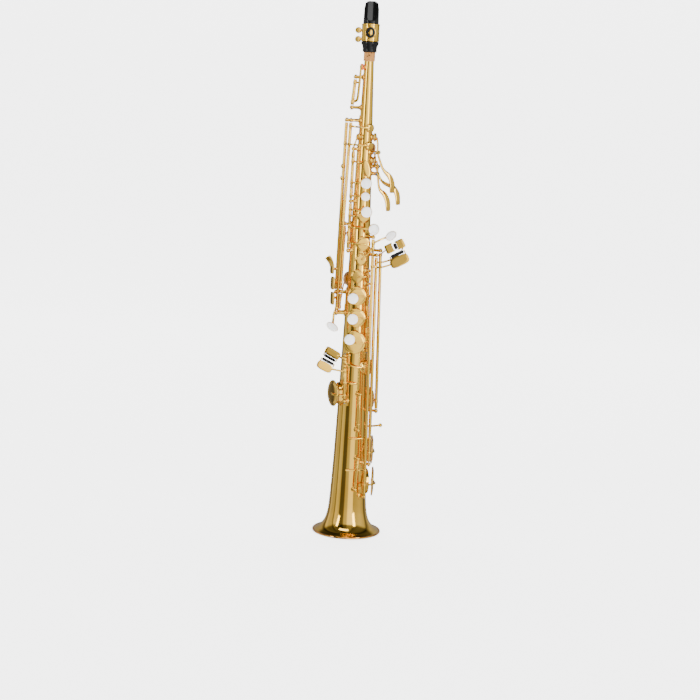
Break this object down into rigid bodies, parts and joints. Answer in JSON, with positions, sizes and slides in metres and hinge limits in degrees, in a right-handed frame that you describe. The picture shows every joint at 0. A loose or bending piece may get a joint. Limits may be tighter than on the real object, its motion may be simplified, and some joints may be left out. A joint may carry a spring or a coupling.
{
  "type": "soprano saxophone",
  "caption": "Straight soprano saxophone: conical lacquered brass tube with bell, sprung keywork on long hinge tubes, finger pearls, black mouthpiece with reed and ligature.",
  "frame": {"origin": "on the floor plane under the bell's rim, at the middle of the whole instrument's overall box; the tube's own axis stands at x = -0.0080 m, y = 0.0000 m", "axes": "+Z along the tube from the bell to the mouthpiece; -Y is the front, with the finger pearls; +X is the player's left, with the palm keys and low B and B flat cups"},
  "size_m": [0.1143, 0.0912, 0.7],
  "materials": {
    "lacquered_brass": "clear gold lacquer, high polish",
    "rim_brass": "polished, redder than the tube",
    "blued_steel": "ground rod, blued springs",
    "black_ebonite": "polished hard rubber",
    "black_resin": "satin",
    "mother_of_pearl": "polished shell",
    "cork": "sanded cork with dark specks",
    "cane": "bare cane",
    "pad_leather": "tan kid leather over felt"
  },
  "bodies": {
    "horn": {"bell_rim_ring": "rim_brass", "body_tube": "lacquered_brass", "guard_rod_lower": "lacquered_brass", "guard_rod_upper": "lacquered_brass", "lh_stack_rod": "blued_steel", "neck_cork": "cork", "rh_stack_rod": "blued_steel", "strap_ring": "lacquered_brass", "thumb_hook": "lacquered_brass", "thumb_rest": "black_resin"},
    "mouthpiece_group": {"mouthpiece": "black_ebonite", "reed": "cane", "ligature": "lacquered_brass"},
    "ligature_screw_upper_body": {"ligature_screw_upper": "lacquered_brass"},
    "ligature_screw_lower_body": {"ligature_screw_lower": "lacquered_brass"},
    "key_small_c_body": {"key_small_c": "lacquered_brass"},
    "key_front_f_body": {"key_front_f": "lacquered_brass"},
    "key_b_body": {"key_b": "lacquered_brass", "pearl_b": "mother_of_pearl"},
    "key_bis_body": {"key_bis": "lacquered_brass", "pearl_bis": "mother_of_pearl"},
    "key_a_body": {"key_a": "lacquered_brass", "pearl_a": "mother_of_pearl"},
    "key_g_body": {"key_g": "lacquered_brass", "pearl_g": "mother_of_pearl"},
    "key_f_sharp_cup_body": {"key_f_sharp_cup": "lacquered_brass"},
    "key_f_body": {"key_f": "lacquered_brass", "pearl_f": "mother_of_pearl"},
    "key_e_body": {"key_e": "lacquered_brass", "pearl_e": "mother_of_pearl"},
    "key_d_body": {"key_d": "lacquered_brass", "pearl_d": "mother_of_pearl"},
    "key_side_e_body": {"key_side_e": "lacquered_brass"},
    "key_side_c_body": {"key_side_c": "lacquered_brass"},
    "key_side_bb_body": {"key_side_bb": "lacquered_brass"},
    "key_high_f_sharp_body": {"key_high_f_sharp": "lacquered_brass", "pearl_high_f_sharp": "mother_of_pearl"},
    "key_palm_f_body": {"key_palm_f": "lacquered_brass"},
    "key_palm_eb_body": {"key_palm_eb": "lacquered_brass"},
    "key_palm_d_body": {"key_palm_d": "lacquered_brass"},
    "key_g_sharp_body": {"key_g_sharp": "lacquered_brass", "pearl_g_sharp": "mother_of_pearl"},
    "key_low_c_sharp_body": {"key_low_c_sharp": "lacquered_brass"},
    "key_low_b_body": {"key_low_b": "lacquered_brass"},
    "key_low_bb_body": {"key_low_bb": "lacquered_brass"},
    "key_low_eb_body": {"key_low_eb": "lacquered_brass"},
    "key_low_c_body": {"key_low_c": "lacquered_brass"},
    "key_octave_thumb_body": {"key_octave_thumb": "lacquered_brass"},
    "key_octave_body_body": {"key_octave_body": "lacquered_brass"},
    "key_octave_neck_body": {"key_octave_neck": "lacquered_brass"},
    "roller_table_long_body": {"roller_table_long": "black_resin"},
    "roller_table_short_body": {"roller_table_short": "black_resin"},
    "roller_pinky_upper_body": {"roller_pinky_upper": "black_resin"},
    "roller_pinky_lower_body": {"roller_pinky_lower": "black_resin"}
  },
  "joints": [
    {"name": "mouthpiece_tuning", "type": "slide", "parent": "horn", "child": "mouthpiece_group", "axis": [0, 0, 1], "range_m": [0, 0.006]},
    {"name": "ligature_screw_upper_turn", "type": "hinge", "parent": "mouthpiece_group", "child": "ligature_screw_upper_body", "pos_m": [-0.0206, 0.0142, 0.6626], "axis": [1, 0, 0], "range_deg": [0, 340]},
    {"name": "ligature_screw_lower_turn", "type": "hinge", "parent": "mouthpiece_group", "child": "ligature_screw_lower_body", "pos_m": [-0.0206, 0.0142, 0.6512], "axis": [1, 0, 0], "range_deg": [0, 340]},
    {"name": "small_c_hinge", "type": "hinge", "parent": "horn", "child": "key_small_c_body", "pos_m": [-0.02265, -0.00809, 0.50355], "axis": [0.006, 0.0112, 0.9999], "range_deg": [0, 8.1]},
    {"name": "front_f_hinge", "type": "hinge", "parent": "horn", "child": "key_front_f_body", "pos_m": [-0.0227, -0.00819, 0.49485], "axis": [0.006, 0.0112, 0.9999], "range_deg": [0, 5], "stiffness_Nm_per_rad": 0.06, "springref_deg": -6.88},
    {"name": "b_hinge", "type": "hinge", "parent": "horn", "child": "key_b_body", "pos_m": [-0.02282, -0.00841, 0.4754], "axis": [0.006, 0.0112, 0.9999], "range_deg": [0, 8], "stiffness_Nm_per_rad": 0.06, "springref_deg": -6.88},
    {"name": "bis_hinge", "type": "hinge", "parent": "horn", "child": "key_bis_body", "pos_m": [-0.02295, -0.00866, 0.45335], "axis": [0.006, 0.0112, 0.9999], "range_deg": [0, 8], "stiffness_Nm_per_rad": 0.06, "springref_deg": -6.88},
    {"name": "a_hinge", "type": "hinge", "parent": "horn", "child": "key_a_body", "pos_m": [-0.02311, -0.00895, 0.4272], "axis": [0.006, 0.0112, 0.9999], "range_deg": [0, 8], "stiffness_Nm_per_rad": 0.06, "springref_deg": -6.88},
    {"name": "g_hinge", "type": "hinge", "parent": "horn", "child": "key_g_body", "pos_m": [-0.02328, -0.00928, 0.39795], "axis": [0.006, 0.0112, 0.9999], "range_deg": [0, 8], "stiffness_Nm_per_rad": 0.06, "springref_deg": -6.88},
    {"name": "f_sharp_cup_hinge", "type": "hinge", "parent": "horn", "child": "key_f_sharp_cup_body", "pos_m": [0.00485, -0.01348, 0.3455], "axis": [0.0218, -0.0073, -0.9997], "range_deg": [0, 8.6]},
    {"name": "f_hinge", "type": "hinge", "parent": "horn", "child": "key_f_body", "pos_m": [0.00538, -0.01366, 0.32105], "axis": [0.0218, -0.0073, -0.9997], "range_deg": [0, 8.5], "stiffness_Nm_per_rad": 0.06, "springref_deg": -6.88},
    {"name": "e_hinge", "type": "hinge", "parent": "horn", "child": "key_e_body", "pos_m": [0.00598, -0.01386, 0.29355], "axis": [0.0218, -0.0073, -0.9997], "range_deg": [0, 8.5], "stiffness_Nm_per_rad": 0.06, "springref_deg": -6.88},
    {"name": "d_hinge", "type": "hinge", "parent": "horn", "child": "key_d_body", "pos_m": [0.0066, -0.01406, 0.2655], "axis": [0.0218, -0.0073, -0.9997], "range_deg": [0, 8.5], "stiffness_Nm_per_rad": 0.06, "springref_deg": -6.88},
    {"name": "side_e_hinge", "type": "hinge", "parent": "horn", "child": "key_side_e_body", "pos_m": [-0.03506, 0.00026, 0.4351], "axis": [-0.0165, 0.02, -0.9997], "range_deg": [0, 5.5], "stiffness_Nm_per_rad": 0.06, "springref_deg": -6.88},
    {"name": "side_c_hinge", "type": "hinge", "parent": "horn", "child": "key_side_c_body", "pos_m": [-0.03022, -0.00024, 0.36825], "axis": [0.018, -0.0034, 0.9998], "range_deg": [0, 6.5], "stiffness_Nm_per_rad": 0.06, "springref_deg": -6.88},
    {"name": "side_bb_hinge", "type": "hinge", "parent": "horn", "child": "key_side_bb_body", "pos_m": [-0.03126, -0.00005, 0.31025], "axis": [0.018, -0.0034, 0.9998], "range_deg": [0, 9], "stiffness_Nm_per_rad": 0.06, "springref_deg": -6.88},
    {"name": "high_f_sharp_hinge", "type": "hinge", "parent": "horn", "child": "key_high_f_sharp_body", "pos_m": [-0.03131, -0.0055, 0.4215], "axis": [-0.0293, 0.004, -0.9996], "range_deg": [0, 6], "stiffness_Nm_per_rad": 0.06, "springref_deg": -6.88},
    {"name": "palm_f_hinge", "type": "hinge", "parent": "horn", "child": "key_palm_f_body", "pos_m": [0.0078, -0.0056, 0.5075], "axis": [0.3341, 0.9425, 0], "range_deg": [0, 7], "stiffness_Nm_per_rad": 0.06, "springref_deg": -6.88},
    {"name": "palm_eb_hinge", "type": "hinge", "parent": "horn", "child": "key_palm_eb_body", "pos_m": [0.006, 0.012, 0.489], "axis": [-0.6508, 0.7593, 0], "range_deg": [0, 7], "stiffness_Nm_per_rad": 0.06, "springref_deg": -6.88},
    {"name": "palm_d_hinge", "type": "hinge", "parent": "horn", "child": "key_palm_d_body", "pos_m": [0.0094, -0.0014, 0.48], "axis": [0.0802, 0.9968, 0], "range_deg": [0, 7], "stiffness_Nm_per_rad": 0.06, "springref_deg": -6.88},
    {"name": "g_sharp_hinge", "type": "hinge", "parent": "horn", "child": "key_g_sharp_body", "pos_m": [0.0088, -0.0194, 0.38805], "axis": [-0.0182, 0.0182, 0.9997], "range_deg": [0, 8], "stiffness_Nm_per_rad": 0.06, "springref_deg": -6.88},
    {"name": "low_c_sharp_hinge", "type": "hinge", "parent": "horn", "child": "key_low_c_sharp_body", "pos_m": [0.0214, -0.0075, 0.27395], "axis": [-0.0224, 0.0047, 0.9997], "range_deg": [0, 11], "stiffness_Nm_per_rad": 0.06, "springref_deg": -6.88},
    {"name": "low_b_hinge", "type": "hinge", "parent": "horn", "child": "key_low_b_body", "pos_m": [0.0158, -0.0162, 0.236], "axis": [-0.0129, 0.0129, 0.9998], "range_deg": [0, 11.5], "stiffness_Nm_per_rad": 0.06, "springref_deg": -6.88},
    {"name": "low_bb_hinge", "type": "hinge", "parent": "horn", "child": "key_low_bb_body", "pos_m": [0.01129, -0.02179, 0.2155], "axis": [-0.0142, 0.0136, 0.9998], "range_deg": [0, 11], "stiffness_Nm_per_rad": 0.06, "springref_deg": -6.88},
    {"name": "low_eb_hinge", "type": "hinge", "parent": "horn", "child": "key_low_eb_body", "pos_m": [-0.02046, -0.02057, 0.2345], "axis": [0.0363, -0.0393, -0.9986], "range_deg": [0, 3.2], "stiffness_Nm_per_rad": 0.06, "springref_deg": -6.88},
    {"name": "low_c_hinge", "type": "hinge", "parent": "horn", "child": "key_low_c_body", "pos_m": [-0.01936, -0.02177, 0.20425], "axis": [0.0363, -0.0393, -0.9986], "range_deg": [0, 14], "stiffness_Nm_per_rad": 0.06, "springref_deg": -6.88},
    {"name": "octave_thumb_hinge", "type": "hinge", "parent": "horn", "child": "key_octave_thumb_body", "pos_m": [-0.008, 0.01742, 0.462], "axis": [-1, 0, 0], "range_deg": [0, 7], "stiffness_Nm_per_rad": 0.06, "springref_deg": -6.88},
    {"name": "octave_body_hinge", "type": "hinge", "parent": "horn", "child": "key_octave_body_body", "pos_m": [-0.015, 0.0149, 0.496], "axis": [0.0166, -0.0416, 0.999], "range_deg": [0, 9], "stiffness_Nm_per_rad": 0.06, "springref_deg": -6.88},
    {"name": "octave_neck_hinge", "type": "hinge", "parent": "horn", "child": "key_octave_neck_body", "pos_m": [-0.0259, 0.001, 0.5835], "axis": [-0.0826, 0, -0.9966], "range_deg": [0, 12.1]},
    {"name": "roller_table_long_spin", "type": "hinge", "parent": "key_low_bb_body", "child": "roller_table_long_body", "pos_m": [0.03294, -0.02127, 0.37451], "axis": [0.8783, -0.0178, 0.4778], "continuous": true},
    {"name": "roller_table_short_spin", "type": "hinge", "parent": "key_low_b_body", "child": "roller_table_short_body", "pos_m": [0.0397, -0.01999, 0.38501], "axis": [-0.4715, 0.1233, 0.8732], "continuous": true},
    {"name": "roller_pinky_upper_spin", "type": "hinge", "parent": "key_low_eb_body", "child": "roller_pinky_upper_body", "pos_m": [-0.0478, -0.01654, 0.2407], "axis": [0.8832, -0.1504, -0.4442], "continuous": true},
    {"name": "roller_pinky_lower_spin", "type": "hinge", "parent": "key_low_c_body", "child": "roller_pinky_lower_body", "pos_m": [-0.04985, -0.02388, 0.23707], "axis": [0.8896, 0.063, -0.4524], "continuous": true}
  ],
  "couplings": [
    {"joint": "f_sharp_cup_hinge", "follows": "f_hinge", "ratio": 1},
    {"joint": "small_c_hinge", "follows": "b_hinge", "ratio": 1},
    {"joint": "octave_neck_hinge", "follows": "octave_thumb_hinge", "ratio": 1.7138}
  ]
}
